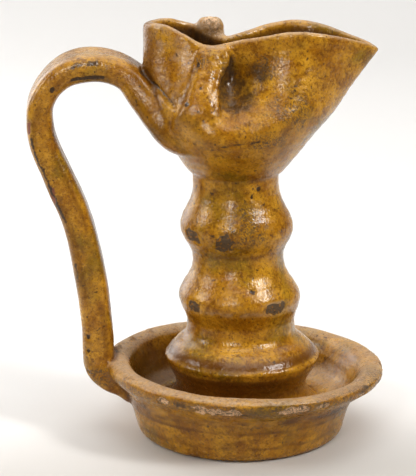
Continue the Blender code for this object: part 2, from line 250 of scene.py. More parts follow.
# Crumbs of clay fired onto the rim at the back, with their radius
CRUMBS = [
    ((-40.4, 19.4, 28.4), 1.7),
    ((-34.2, 29.4, 28.2), 1.5),
    ((-44.6, 8.5, 28.2), 1.1),
]
CRUMB_HEIGHT = 1.3
PIT_DEPTH = 0.6

# Dark streaks along the strap's near face: strength, height as a share of the half-thickness, its
# waver and half-width, and the stations where the streak comes in and dies out
STREAKS = [
    (1.2, -0.38, 0.06, 0.13, (4.7, 5.0, 6.5, 6.9)),
    (0.42, 0.36, 0.0, 0.10, (4.8, 5.4, 6.8, 7.2)),
    (0.45, 0.52, 0.0, 0.14, (4.9, 5.4, 6.2, 6.8)),
]

# Heights of lines round the pot, and the middle of a pale arc over the lower ring
WALL_LINES = (12.0, 5.6)
FLARE_LINE = 15.5
LIP_LINE = 24.2
UNDER_RING_LINE = 68.6
ARC_X = 12
ARC_HEIGHT = 52.7

# Rounds of averaging that find the hollows and ridges, and the masks made from them and the lists
HOLLOW_ROUNDS = 14
MASKS = ("pool_and_shade", "thin_and_lit", "film", "worn", "bare", "rubbed", "stain_and_shade", "scratched", "dark", "puckered")

# Backdrop paper in metres: a floor, a bend and a wall
SWEEP_FRONT = -1.2
SWEEP_BACK = 1.5
SWEEP_BEND = 0.6
SWEEP_TOP = 2.2
SWEEP_HALF_WIDTH = 1.8

# Grading of the backdrop paper, painted shade darker towards the front and the right, in metres
# along a line that slants from -Y towards +X
GRADE_SLANT = 0.15
GRADE_START = -0.07
GRADE_END = 0.18

# Camera, fitted to a picture 476 pixels high, in metres and degrees
PICTURE_PIXELS = 476
FOCAL_PIXELS = 1800
SENSOR_HEIGHT = 36.0
CAMERA_X = -0.01176
CAMERA_HEIGHT = 0.2302
CAMERA_PITCH = 14.2
LAMP_MIDDLE = (-0.01, 0.0, 0.08)


def smooth(stations, values, position):
    """Value at each position on a curve run smoothly through the stations (cubic Hermite)."""
    stations = np.asarray(stations, float)
    values = np.asarray(values, float)
    slopes = np.gradient(values, stations)
    position = np.clip(position, stations[0], stations[-1])
    span = np.clip(np.searchsorted(stations, position, side="right") - 1, 0, len(stations) - 2)
    width = stations[span + 1] - stations[span]
    t = (position - stations[span]) / width
    return (
        (1 + 2 * t) * (1 - t) ** 2 * values[span]
        + t * (1 - t) ** 2 * width * slopes[span]
        + t**2 * (3 - 2 * t) * values[span + 1]
        + t**2 * (t - 1) * width * slopes[span + 1]
    )


def ramp(value, start, end):
    """0 before start, 1 after end, and a smooth step between them."""
    t = np.clip((value - start) / (end - start), 0, 1)
    return t * t * (3 - 2 * t)


def band(value, start, full, fade, end):
    """A smooth step up from start to full, times a smooth step down from fade to end."""
    return ramp(value, start, full) * (1 - ramp(value, fade, end))


def run(points, steps):
    """Points along a smooth line through a few (radius, height) points."""
    points = np.array(points)
    stations = np.arange(len(points))
    position = np.linspace(0, len(points) - 1, steps)
    return np.stack([smooth(stations, points[:, axis], position) for axis in (0, 1)], axis=1)


def swell(start, end, steps, power=1.0):
    """Points from one (radius, height) to the next along half a cosine wave, bent by a power."""
    t = np.linspace(0, 1, steps)
    wave = (0.5 - 0.5 * np.cos(np.pi * t)) ** power
    radius = start[0] + (end[0] - start[0]) * wave
    height = start[1] + (end[1] - start[1]) * t
    return np.stack([radius, height], axis=1)


def cloud(points, size, seed):
    """Smooth random field: values on a lattice of cells, blended by a smooth step on each axis."""
    lattice = np.random.default_rng(seed).uniform(-1, 1, (24, 24, 24))
    place = points / size + 100.0
    cell = np.floor(place).astype(int)
    t = place - cell
    t = t * t * (3 - 2 * t)
    total = np.zeros(len(points))
    for corner in np.ndindex(2, 2, 2):
        weight = np.prod(np.where(corner, t, 1 - t), axis=1)
        i, j, k = ((cell + corner) % 24).T
        total += weight * lattice[i, j, k]
    return total


def blot(points, centre, reach, ragged, seed):
    """Patch mask: 1 inside an ellipsoid and 0 outside, its soft edge torn by a random field."""
    distance = np.linalg.norm((points - centre) / reach, axis=1)
    near = distance < 2.5
    mask = np.zeros(len(points))
    torn = distance[near] + ragged * cloud(points[near], 1.7, seed)
    mask[near] = 1 - ramp(torn, 0.55, 1.25)
    return mask


def blots(points, marks, ragged, seed):
    """Sum of the patch masks of a list of marks, at most 1."""
    total = sum(blot(points, np.array(centre), np.array(reach), ragged, seed + i)
                for i, (centre, reach) in enumerate(marks))
    return np.clip(total, 0, 1)


def line_mark(value, middle, half):
    """1 along a line where the value is at the middle, falling off as a bell curve."""
    return np.exp(-(((value - middle) / half) ** 2))


def turned_profile():
    """Outline of stem and saucer, from the stem's top down, over the rim and under the foot."""
    spread = FLANGE_RADIUS - LOWER_WAIST[0]
    climb = LOWER_WAIST[1] - FLANGE_HEIGHT
    cone = [(FLANGE_RADIUS - inward * spread, FLANGE_HEIGHT + up * climb)
            for inward, up in ((0.92, 0.67), (0.52, 0.43), (0.18, 0.19), (0.16, 0.08))]
    collar = FLANGE_RADIUS - FLANGE_UNDERCUT
    drop = FLANGE_HEIGHT - TRAY_FLOOR
    rise = TRAY_HEIGHT - TRAY_FLOOR
    lip_foot = TRAY_HEIGHT - LIP_DEPTH
    wall = FOOT_RADIUS + 0.35 * (TRAY_RADIUS - FOOT_RADIUS)
    inside = wall - TRAY_WALL
    edge = TRAY_RADIUS - RIM_WIDTH
    flange_lip = (FLANGE_RADIUS - 0.3 * FLANGE_ROUND, FLANGE_HEIGHT + 0.6 * FLANGE_LIP)
    stem = [
        [(0.05, STEM_HEIGHT), (0.6 * NECK[0], STEM_HEIGHT), (NECK[0], STEM_HEIGHT)],
        swell(NECK, UPPER_RING, 40, 1.3),
        swell(UPPER_RING, MIDDLE_WAIST, 30)[1:],
        swell(MIDDLE_WAIST, LOWER_RING, 40, 1.4)[1:],
        [RIDGE],
        swell(RIDGE, LOWER_WAIST, 24, 0.7)[1:],
        run([LOWER_WAIST, *cone, flange_lip], 48)[1:],
    ]
    tray = [
        run([(FLANGE_RADIUS + 0.5 * FLANGE_ROUND, FLANGE_HEIGHT + 0.2 * FLANGE_LIP),
             (FLANGE_RADIUS - 0.4 * FLANGE_ROUND, FLANGE_HEIGHT - 0.6 * FLANGE_LIP),
             (collar + 0.7 * FLANGE_UNDERCUT, TRAY_FLOOR + 0.82 * drop),
             (collar + 0.25 * FLANGE_UNDERCUT, TRAY_FLOOR + 0.64 * drop),
             (collar - 0.1 * COLLAR_FILLET, TRAY_FLOOR + 0.46 * drop),
             (collar + 0.2 * COLLAR_FILLET, TRAY_FLOOR + 0.3 * drop),
             (collar + 1.3 * COLLAR_FILLET, TRAY_FLOOR + 0.14 * drop),
             (collar + 2.6 * COLLAR_FILLET, TRAY_FLOOR + 0.03 * drop)], 60),
        run([(FOOT_RADIUS - 2 * TRAY_WALL, TRAY_FLOOR),
             (inside - 0.2 * TRAY_WALL, TRAY_FLOOR + 0.28 * rise),
             (0.4 * inside + 0.6 * edge, TRAY_HEIGHT - 0.32 * rise),
             (edge, TRAY_HEIGHT - RIM_DISH)], 30),
        run([(edge + 0.25 * RIM_WIDTH, TRAY_HEIGHT - 0.125 * RIM_DISH),
             (edge + 0.65 * RIM_WIDTH, TRAY_HEIGHT),
             (TRAY_RADIUS - 0.4 * RIM_ROUND, TRAY_HEIGHT - 0.3 * RIM_ROUND)], 20),
        run([(TRAY_RADIUS + 0.3 * RIM_ROUND, TRAY_HEIGHT - 1.2 * RIM_ROUND),
             (TRAY_RADIUS - 0.5 * RIM_ROUND, TRAY_HEIGHT - 0.42 * LIP_DEPTH),
             (0.35 * wall + 0.65 * TRAY_RADIUS, TRAY_HEIGHT - 0.68 * LIP_DEPTH),
             (0.75 * wall + 0.25 * TRAY_RADIUS, lip_foot),
             (wall + 0.2 * LIP_FLARE, lip_foot - 1.4 * LIP_FLARE),
             (0.8 * wall + 0.2 * FOOT_RADIUS, lip_foot - 3.2 * LIP_FLARE)], 40),
        [(0.25 * wall + 0.75 * FOOT_RADIUS, FOOT_BEVEL_HEIGHT),
         (FOOT_RADIUS - FOOT_BEVEL, 0), (0.05, 0)],
    ]
    return np.concatenate(stem + tray)


def stem_shift(height):
    """How far the stem has leaned towards the handle at a height."""
    return STEM_OFFSET - STEM_LEAN * (height - FLANGE_HEIGHT) / (STEM_HEIGHT - FLANGE_HEIGHT)


def turned_surface(sides):
    """Stem and saucer: (radius, height) spun round Z, the stem leaned, the rim tipped to +X."""
    profile = turned_profile()
    angle = np.linspace(0, 2 * np.pi, sides, endpoint=False)
    x = profile[:, :1] * np.cos(angle)
    y = profile[:, :1] * np.sin(angle)
    z = np.repeat(profile[:, 1:], sides, axis=1)
    on_stem = profile[:, :1] < FLANGE_RADIUS + FLANGE_ROUND
    above_floor = np.clip((z - TRAY_FLOOR) / (TRAY_HEIGHT - TRAY_FLOOR), 0, 1)
    leaned = x + stem_shift(np.maximum(z, FLANGE_HEIGHT)) * above_floor
    pushed = x + TRAY_OFFSET * above_floor
    dropped = z - RIM_TILT * above_floor * x / TRAY_RADIUS
    return np.stack([np.where(on_stem, leaned, pushed), y, np.where(on_stem, z, dropped)], axis=-1)


def rim_height(x, far=0.0):
    """Height of the bowl's rim over x: a dip at the pinch and a fall towards the spout.

    The dip is narrower on the far side, where the rim stays up behind the pinch.
    """
    lengths = [-BACK_REACH, -0.8 * BACK_REACH, PINCH_X - DIP_SETBACK, 0.05 * SPOUT_REACH,
               0.4 * SPOUT_REACH, 0.7 * SPOUT_REACH, 0.86 * SPOUT_REACH, 0.95 * SPOUT_REACH,
               1.02 * SPOUT_REACH]
    drops = [BACK_DROP, 0, PINCH_DIP, 0.65 * PINCH_DIP, 0.2 * SPOUT_DROP, 0.46 * SPOUT_DROP,
             0.72 * SPOUT_DROP, 0.92 * SPOUT_DROP, 1.18 * SPOUT_DROP]
    kept = FAR_RIM_RISE * np.exp(-(((x - 3 * PINCH_X) / (0.75 * PINCH_BACK_SPREAD)) ** 2))
    return RIM_HEIGHT + RIM_SPARE - smooth(lengths, drops, x) + kept * far


def wall_dents(x, z, near):
    """How far the near side of the bowl's wall is pushed in beside the ear and at the spout.

    Each dent is a hollow whose depth falls off as a bell curve along x and z, steeper on one side.
    """
    push = np.zeros(np.broadcast(x, z).shape)
    for depth, middle, height, behind, ahead, spread in DENTS:
        reach = np.where(x < middle, behind, ahead)
        push += depth * np.exp(-(((x - middle) / reach) ** 2) - ((z - height) / spread) ** 2)
    return push * near


def bowl_reaches(share):
    """Bowl's reach to the spout and to the back, and its half-width, at a share of its height."""
    front = SPOUT_REACH * smooth(BOWL_LEVELS, SPOUT_SHARES, share)
    back = BACK_REACH * smooth(BOWL_LEVELS, BACK_SHARES, share)
    half_width = BELLY_HALF_WIDTH * smooth(BOWL_LEVELS, WIDTH_SHARES, share)
    return front, back, half_width


def bowl_width(x, share, along, half_width):
    """Half-width of the plan's ellipse, narrow at the pinch and pointed at the spout."""
    pinch_x = PINCH_X + PINCH_SWEEP * (1 - share)
    spread = np.where(x > pinch_x, PINCH_FRONT_SPREAD, PINCH_BACK_SPREAD)
    pinch = PINCH_DEPTH * np.exp(-(((x - pinch_x) / spread) ** 2)) * ramp(share, 0.22, 0.72)
    point = 1 - 0.45 * ramp(along, 0.45, 1.0) * ramp(share, 0.2, 1.0)
    return half_width * point - pinch


def bowl_surface(share, inset, lift, bottom, sides):
    """Bowl over an angle and a share of its height, one row for each share.

    Each half of the plan is a quarter ellipse, from the stem to the spout or to the back,
    made narrow at the pinch and pointed at the spout as the share grows.
    """
    share, inset, lift, bottom = (np.broadcast_to(row, share.shape)[:, None]
                                  for row in (share, inset, lift, bottom))
    angle = np.linspace(0, 2 * np.pi, sides, endpoint=False)
    front, back, half_width = (reach - inset for reach in bowl_reaches(share))
    along = np.cos(angle)
    x = 0.5 * (front - back) + 0.5 * (front + back) * along
    width = bowl_width(x, share, along, half_width) * np.abs(np.sin(angle))
    far = ramp(np.sin(angle), 0.0, 0.5)
    z = bottom + share * (rim_height(x, far) - bottom) + lift
    width -= wall_dents(x, z, ramp(-np.sin(angle), 0.1, 0.5))
    return np.stack([x, width * np.sign(np.sin(angle)), z], axis=-1)


def oil_space(sides):
    """Inner skin of the bowl, from the dished floor's middle up past the mouth.

    The skin is the bowl's surface, inset by a wall that thins with height. The floor's rings
    shrink to its middle, and sink by the cube of their size.
    """
    floor = STEM_HEIGHT + BOWL_FLOOR
    share = np.linspace(0.1, 1.0, 46)
    skin = bowl_surface(share, BOWL_WALL * (1.35 - 0.4 * share), 0, floor, sides)
    middle = skin[0].mean(axis=0)
    low = floor - FLOOR_DISH
    dish = []
    for shrink in (0.02, 0.25, 0.5, 0.75):
        ring = (skin[0] - middle) * (shrink, shrink, 0) + middle
        ring[:, 2] = low + (skin[0][:, 2] - low) * shrink**3
        dish.append(ring)
    top = bowl_surface(np.ones(1), 0.95 * BOWL_WALL, MOUTH_CLEARANCE, floor, sides)
    return np.concatenate([np.array(dish), skin, top])


def bowl_shell(sides):
    """Bowl as one closed skin: up the outside, over the rounded lip and down the inside."""
    share = np.linspace(0.0, 0.985, 60)
    outside = bowl_surface(share, 0.0, 0, STEM_HEIGHT, sides)
    centre = np.array([0.3 * stem_shift(STEM_HEIGHT), 0, -BOWL_ROOT])
    root = [outside[0] * (shrink, shrink, 1) + centre for shrink in (0.02, 0.7)]
    bend = np.linspace(0.15, 0.85, 7) * np.pi
    inset = 0.475 * BOWL_WALL * (1 - np.cos(bend))
    drop = LIP_ROUND * (np.sin(bend) - 1)
    lip = bowl_surface(np.ones(7), inset, drop, STEM_HEIGHT, sides)
    inside = oil_space(sides)[-2::-1]
    return np.concatenate([np.array(root), outside, lip, inside[1:]])


def strap_path():
    """Centre line (x, z), thickness and width of the strap at its stations.

    The path's points are shares of the way between the bowl, the handle's reach and the tray.
    """
    half = 0.5 * HANDLE_THICKNESS
    left = -HANDLE_REACH + half
    crown = HANDLE_TOP - 1.08 * half
    back = -BACK_REACH
    edge = -TRAY_RADIUS
    drop = crown - TRAY_HEIGHT
    gap = back - left
    path = np.array([
        (back + 0.52 * gap, crown - 0.222 * drop),
        (back + 0.31 * gap, crown - 0.207 * drop),
        (back + 0.14 * gap, crown - 0.162 * drop),
        (back, crown - 0.098 * drop),
        (back - 0.15 * gap, crown - 0.036 * drop),
        (back - 0.36 * gap, crown - 0.003 * drop),
        (back - 0.57 * gap, crown),
        (back - 0.75 * gap, crown - 0.019 * drop),
        (back - 0.89 * gap, crown - 0.061 * drop),
        (back - 0.98 * gap, crown - 0.117 * drop),
        (left, crown - 0.175 * drop),
        (left + 0.03 * gap, crown - 0.26 * drop),
        (left + 0.17 * gap, crown - 0.38 * drop),
        (0.36 * left + 0.64 * (edge - 0.67 * STRAP_STANDOFF), crown - 0.52 * drop),
        (0.15 * left + 0.85 * (edge - 0.53 * STRAP_STANDOFF), crown - 0.705 * drop),
        (edge - STRAP_STANDOFF, TRAY_HEIGHT + 0.17 * drop),
        (edge - 0.73 * STRAP_STANDOFF, TRAY_HEIGHT + 0.05 * drop),
        (edge - 0.33 * STRAP_STANDOFF, TRAY_HEIGHT - 0.12 * LIP_DEPTH),
        (edge + 0.27 * TAIL_REACH, TRAY_HEIGHT - 0.64 * LIP_DEPTH),
        (edge + 0.75 * TAIL_REACH, TRAY_HEIGHT - 1.04 * LIP_DEPTH),
        (edge + 1.1 * TAIL_REACH, TRAY_HEIGHT - 1.6 * LIP_DEPTH),
    ])
    stations = np.arange(len(path))
    thickness = HANDLE_THICKNESS * smooth(*np.array(STRAP_THICKNESS).T, stations)
    width = HANDLE_WIDTH * smooth(*np.array(STRAP_WIDTH).T, stations)
    return np.column_stack([path, thickness, width])


def strap_frame(steps):
    """Centres, outward and sideward directions, thickness and width along the strap.

    The free part is turned a little about its path, so that its outer face looks to the near
    side, and swells and moves towards the loop.
    """
    table = strap_path()
    position = np.linspace(0, len(table) - 1, steps)
    stations = np.arange(len(table))
    x, z, thick, wide = (smooth(stations, column, position) for column in table.T)
    along = np.stack([np.gradient(x), np.gradient(z)], axis=1)
    along /= np.linalg.norm(along, axis=1)[:, None]
    free = band(position, 3.5, 6.0, 15.5, 17.5)
    turn = (np.radians(STRAP_TWIST) * free)[:, None]
    level = np.stack([along[:, 1], np.zeros(steps), -along[:, 0]], axis=1)
    side = np.array([0.0, 1.0, 0.0])
    across = np.cos(turn) * side + np.sin(turn) * level
    outward = np.cos(turn) * level - np.sin(turn) * side
    centre = np.stack([x, np.zeros(steps), z], axis=1) - STRAP_SHIFT * free[:, None] * level
    thick = thick * (1 + STRAP_SWELL * free * (0.25 + 0.75 * ramp(position, 7.0, 12.5)))
    return position, centre, outward, across, thick, wide


def strap_surface(steps, sides):
    """Strap: an oblong carried along its path, squarer and dished outside, rounder inside."""
    position, centre, outward, across, thick, wide = strap_frame(steps)
    angle = np.linspace(0, 2 * np.pi, sides, endpoint=False) + np.pi / sides
    inner = np.sin(angle) > 0
    u = np.sign(np.cos(angle)) * np.abs(np.cos(angle)) ** np.where(inner, 0.62, 0.55)
    v = np.sign(np.sin(angle)) * np.abs(np.sin(angle)) ** np.where(inner, 0.66, 0.55)
    dish = 0.12 * np.exp(-((u / 0.55) ** 2)) * np.sign(v) * ramp(np.abs(v), 0.3, 1.0)
    free = band(position, 3.0, 5.0, 15.0, 17.0)
    through = 0.5 * thick[:, None] * (v - free[:, None] * dish)
    beside = 0.5 * wide[:, None] * u
    return (centre[:, None, :] - outward[:, None, :] * through[:, :, None]
            + across[:, None, :] * beside[:, :, None])


def wall_width(x, z):
    """Distance of the bowl's outer wall from the middle plane, before it is dented."""
    share = (z - STEM_HEIGHT) / (rim_height(x) - STEM_HEIGHT)
    front, back, half_width = bowl_reaches(share)
    along = np.clip((x - 0.5 * (front - back)) / (0.5 * (front + back)), -1, 1)
    return bowl_width(x, share, along, half_width) * np.sqrt(1 - along**2)


def ear_surface(side, rise, steps, sides):
    """Ear: an oblong carried down the pinch on one side (-1 near, 1 far), sunk in the wall below.

    Its face slopes back towards the handle, has a fold near its other edge and a press in its top.
    """
    top = RIM_HEIGHT - PINCH_DIP
    deep = top - STEM_HEIGHT
    pinch = PINCH_X - EAR_SETBACK - 0.2 * rise
    lap = 0.35 * rise
    stations = np.array([
        (pinch - 0.90 * EAR_SWEEP, -6.5, top - 0.70 * deep, 1.7, 0.7),
        (pinch - 0.80 * EAR_SWEEP, -4.2, top - 0.62 * deep, 1.6, 0.8),
        (pinch - 0.68 * EAR_SWEEP, -2.4, top - 0.54 * deep, 1.5, 0.9),
        (pinch - 0.57 * EAR_SWEEP, -1.0, top - 0.46 * deep, 1.27, 1.0),
        (pinch - 0.46 * EAR_SWEEP, -0.1, top - 0.37 * deep, 1.06, 1.0),
        (pinch - 0.33 * EAR_SWEEP, 0.2, top - 0.28 * deep, 0.94, 1.0),
        (pinch - 0.20 * EAR_SWEEP, 0.4, top - 0.19 * deep, 0.92, 1.0),
        (pinch - 0.05 * EAR_SWEEP, 0.4, top - 0.09 * deep, 1.08, 1.0),
        (pinch, 0.2 - 0.5 * lap, top - EAR_CROWN + 0.62 * rise, 1.05, 1.0),
        (pinch + 0.03 * EAR_SWEEP, 0.0 - lap, top - 0.4 * EAR_CROWN + 0.88 * rise, 0.96, 0.9),
        (pinch + 0.03 * EAR_SWEEP, -0.1 - lap, top + 1.04 * rise, 0.74, 0.75),
        (pinch + 0.03 * EAR_SWEEP, -0.2 - lap, top + 0.25 * EAR_CROWN + 1.08 * rise, 0.36, 0.4),
    ])
    reach = wall_width(stations[:, 0], np.minimum(stations[:, 2], top - EAR_CROWN))
    stations[:, 1] = side * (reach + stations[:, 1])
    position = np.linspace(0, len(stations) - 1, steps)
    x, y, z, wide, thick = (smooth(np.arange(len(stations)), column, position)
                            for column in stations.T)
    centre = np.stack([x, y, z], axis=1)
    along = np.gradient(centre, axis=0)
    along /= np.linalg.norm(along, axis=1)[:, None]
    across = np.cross((0.0, 1.0, 0.0), along)
    across /= np.linalg.norm(across, axis=1)[:, None]
    through = side * np.cross(along, across)
    angle = np.linspace(0, 2 * np.pi, sides, endpoint=False)
    bend = (0.95 - 0.42 * ramp(position, 1.0, 5.0))[:, None]
    u = np.sign(np.cos(angle)) * np.abs(np.cos(angle)) ** bend
    v = np.sign(np.sin(angle)) * np.abs(np.sin(angle)) ** bend
    fold = FOLD_DEPTH * line_mark(u, FOLD_PLACE, 0.16) * ramp(position, 3.0, 5.0)[:, None]
    fold = fold + PRESS_DEPTH * line_mark(u, -0.1, 0.45) * ramp(position, 8.6, 10.0)[:, None]
    slope = EAR_SLOPE * (0.5 - 0.5 * u)
    lift = 0.5 * EAR_THICKNESS * thick[:, None] * v - (fold + slope) * ramp(v, 0.2, 0.9)
    width = 0.5 * EAR_WIDTH * wide[:, None] * u
    return (centre[:, None, :] + across[:, None, :] * width[:, :, None]
            + through[:, None, :] * lift[:, :, None])


def closed_mesh(name, surface):
    """Mesh in metres of a grid of points closed round its rows, with a face over each end."""
    rows, sides = surface.shape[:2]
    corner = np.arange(rows * sides).reshape(rows, sides)
    ahead = np.roll(corner, -1, axis=1)
    quads = np.stack([corner[:-1], ahead[:-1], ahead[1:], corner[1:]], axis=-1).reshape(-1, 4)
    flat = surface.reshape(-1, 3)
    a, b, c, d = (flat[quads[:, i]] for i in range(4))
    volume = np.einsum("ij,ij->", a, np.cross(b, c)) + np.einsum("ij,ij->", a, np.cross(c, d))
    faces = quads.tolist() + [corner[0, ::-1].tolist(), corner[-1].tolist()]
    mesh = bpy.data.meshes.new(name)
    mesh.from_pydata((flat * MM).tolist(), [], faces)
    if volume < 0:
        mesh.flip_normals()
    return mesh


def add_object(name, data):
    """A new object with its mesh, light or camera, in the scene."""
    item = bpy.data.objects.new(name, data)
    bpy.context.scene.collection.objects.link(item)
    return item


def evaluated_mesh(item):
    """The object's mesh with its modifiers applied; the object itself is removed."""
    depsgraph = bpy.context.evaluated_depsgraph_get()
    mesh = bpy.data.meshes.new_from_object(item.evaluated_get(depsgraph))
    bpy.data.objects.remove(item)
    return mesh


def trimmed_strap():
    """The strap without what would stand inside the oil space."""
    strap = add_object("strap", closed_mesh("strap", strap_surface(220, 48)))
    space = add_object("space", closed_mesh("space", oil_space(96)))
    cut = strap.modifiers.new("cut", "BOOLEAN")
    cut.operation = "DIFFERENCE"
    cut.solver = "EXACT"
    cut.object = space
    mesh = evaluated_mesh(strap)
    bpy.data.objects.remove(space)
    return mesh


def luted_body(voxel, smoothing):
    """All the thrown and pulled pieces pressed into one skin, their joints softened."""
    pieces = [
        closed_mesh("turned", turned_surface(240)),
        closed_mesh("bowl", bowl_shell(240)),
        trimmed_strap(),
        closed_mesh("near_ear", ear_surface(-1, 0.0, 70, 36)),
        closed_mesh("far_ear", ear_surface(1, FAR_EAR_RISE, 70, 36)),
    ]
    clay = bmesh.new()
    for mesh in pieces:
        clay.from_mesh(mesh)
        bpy.data.meshes.remove(mesh)
    joined = bpy.data.meshes.new("joined")
    clay.to_mesh(joined)
    clay.free()
    body = add_object("joined", joined)
    remesh = body.modifiers.new("press together", "REMESH")
    remesh.mode = "VOXEL"
    remesh.voxel_size = voxel
    soften = body.modifiers.new("soften", "SMOOTH")
    soften.factor = 0.5
    soften.iterations = smoothing
    return evaluated_mesh(body)


def read_points(mesh):
    """Vertex positions in millimetres and unit normals."""
    flat = np.empty(len(mesh.vertices) * 3)
    mesh.vertices.foreach_get("co", flat)
    normals = np.empty(len(mesh.vertices) * 3)
    mesh.vertices.foreach_get("normal", normals)
    return flat.reshape(-1, 3) / MM, normals.reshape(-1, 3)


def write_points(mesh, points):
    """Put vertex positions in millimetres back into the mesh."""
    mesh.vertices.foreach_set("co", (points * MM).ravel())
    mesh.update()


def hollowness(mesh, points, normals, rounds):
    """Height of the neighbourhood's mean over each vertex: plus in hollows, minus on ridges."""
    ends = np.empty(len(mesh.edges) * 2, np.int32)
    mesh.edges.foreach_get("vertices", ends)
    first, second = ends.reshape(-1, 2).T
    count = np.bincount(ends, minlength=len(points))[:, None]
    mean = points.copy()
    for _ in range(rounds):
        total = np.stack([np.bincount(first, mean[second, axis], len(points))
                          + np.bincount(second, mean[first, axis], len(points))
                          for axis in range(3)], axis=1)
        mean = 0.5 * mean + 0.5 * total / count
    return np.einsum("ij,ij->i", mean - points, normals)


def strap_place(points):
    """Nearest strap station to each point, and how far outward and across the point lies."""
    position, centre, outward, across, thick, wide = strap_frame(300)
    place = np.full(len(points), -1.0)
    out = np.zeros(len(points))
    near = np.flatnonzero(points[:, 0] < -0.6 * BACK_REACH)
    for part in np.array_split(near, 12):
        offset = points[part, None, :] - centre[None, :, :]
        nearest = np.argmin(offset[:, :, 0] ** 2 + offset[:, :, 2] ** 2, axis=1)
        reach = np.take_along_axis(offset, nearest[:, None, None], axis=1)[:, 0]
        lift = np.einsum("ij,ij->i", reach, outward[nearest]) / (0.5 * thick[nearest])
        beside = np.abs(np.einsum("ij,ij->i", reach, across[nearest])) / (0.5 * wide[nearest])
        held = (np.abs(lift) < 1.3) & (beside < 1.25)
        place[part] = np.where(held, position[nearest], -1.0)
        out[part] = lift
    return place, out


def throwing_rings(points, place, depth):
    """Fine rings left by the fingers: a sine of the height, its phase wandering round the pot."""
    radius = np.hypot(points[:, 0], points[:, 1])
    wander = 1.6 * cloud(points * (1, 1, 0.3), 22.0, 3)
    rings = np.sin(2 * np.pi * points[:, 2] / 3.1 + wander)
    strength = np.where(points[:, 2] < 18, 1.3, 0.45)
    strength = np.where((points[:, 2] < 30) & (radius < 41), 0.3, strength)
    strength = strength * (place < 0) * ramp(points[:, 2], 0.3, 2.0)
    return depth * strength * (0.6 + 0.4 * cloud(points, 9.0, 4)) * rings


def hand_unevenness(points, depth):
    """Slow swellings and dents of hand work: three random fields, each finer than the last."""
    slow = cloud(points, 19.0, 11)
    middle = cloud(points, 7.5, 12)
    fine = cloud(points, 3.0, 13)
    return depth * ramp(points[:, 2], 0.2, 3.0) * (slow + 0.3 * middle + 0.12 * fine)


def strap_streaks(points, place, out):
    """Dark streaks along the strap's near face, and the line where the face meets the top.

    Each is a bell curve over the height on the face, wavering with a random field.
    """
    near_face = (points[:, 1] < -6.5) & (place > 4.6) & (place < 16.6)
    torn = cloud(points, 2.2, 21)
    patchy = ramp(cloud(points * (0.4, 0.4, 0.25), 2.6, 23), -0.1, 0.3)
    edge = (0.3 + 0.5 * ramp(place, 10.0, 11.0)) * line_mark(out, 0.66 + 0.1 * torn, 0.12) * patchy
    spot = line_mark(out, -0.1, 0.14) * line_mark(place, 7.9, 0.16)
    dark = edge + spot
    for strength, height, waver, half, stations in STREAKS:
        dark += strength * line_mark(out, height + waver * torn, half) * band(place, *stations)
    return np.clip(dark, 0, 1) * near_face


def groove_marks(points, normals):
    """Bell-shaped masks along the grooves, and their depths and darknesses.

    The distance to a groove is taken in x and z from the nearest of its straight pieces.
    """
    near = (normals[:, 1] < 0.2) * ramp(-points[:, 1], 1, 4)
    masks = []
    for path, half, _, _ in GROOVES:
        start = np.array(path[:-1])
        step = np.diff(path, axis=0)
        offset = points[:, None, ::2] - start
        share = np.clip((offset * step).sum(axis=2) / (step**2).sum(axis=1), 0, 1)
        distance = np.linalg.norm(offset - share[:, :, None] * step, axis=2).min(axis=1)
        masks.append(line_mark(distance, 0, half) * near)
    depths, darknesses = np.array([groove[2:] for groove in GROOVES]).T
    return depths @ np.array(masks), darknesses @ np.array(masks)


def pit_blots(points):
    """Mask of the small open pits."""
    return blots(points, [(centre, (radius,) * 3) for centre, radius in PITS], 0.1, 90)


def saucer_marks(points, normals, near):
    """Marks of the saucer and the flange: bands over height, radius and x, some torn by noise."""
    x, y, z = points.T
    radius = np.hypot(x, y)
    along_rim = cloud(points * (0.35, 0.35, 1.4), 1.9, 24)
    lip_face = ramp(radius, 46.0, 47.5) * band(z, 18.5, 20.5, 25.0, 26.2)
    lip_edge = line_mark(z + RIM_TILT * x / TRAY_RADIUS, LIP_LINE, 0.8) * ramp(radius, 47, 48.5)
    # Flare under the lip: glaze pooled there, and painted shade under the lip's overhang
    flare = line_mark(z, FLARE_LINE, 3.0) * ramp(radius, 38, 39) * (0.6 + 0.5 * along_rim)
    outer_wall = ramp(radius, 33, 35) * (1 - ramp(z, 17, 19)) * (normals[:, 2] < 0.3)
    streaks = ramp(cloud(points * (0.3, 0.3, 1.3), 1.7, 26), -0.1, 0.6)
    streaks = (streaks + sum(line_mark(z, height, 0.6) for height in WALL_LINES)) * outer_wall
    # Collar under the flange: painted shade beneath its overhang, fading towards +X
    collar = ramp(28.2 - radius, 0, 1) * (1 - 0.5 * ramp(x, 8, 22))
    collar *= band(z, TRAY_FLOOR - 1, TRAY_FLOOR, FLANGE_HEIGHT - 2.8, FLANGE_HEIGHT - 1.6)
    above_lip = line_mark(z, FLANGE_HEIGHT + 2.6, 1.8) * ramp(radius, 22, 24) * (radius < 27.8)
    left_inside = ramp(-x, 10, 26) * band(radius, 30, 33, 39, 42) * ramp(z, 11, 12)
    level = ramp(normals[:, 2], 0.45, 0.95) * ((z < 30) & (z > 12)) * ramp(radius, 29, 30)
    return {
        "pool_and_shade": (0.9 * collar + 0.5 * flare + 0.05 * outer_wall + 0.42 * streaks + above_lip
                 + 0.6 * left_inside),
        "film": level * (1 - 0.4 * ramp(x, 15, 35)),
        "worn": 0.6 * lip_face * ramp(along_rim, 0.1, 0.8),
        "scratched": (0.9 * lip_face + lip_edge) * near,
    }


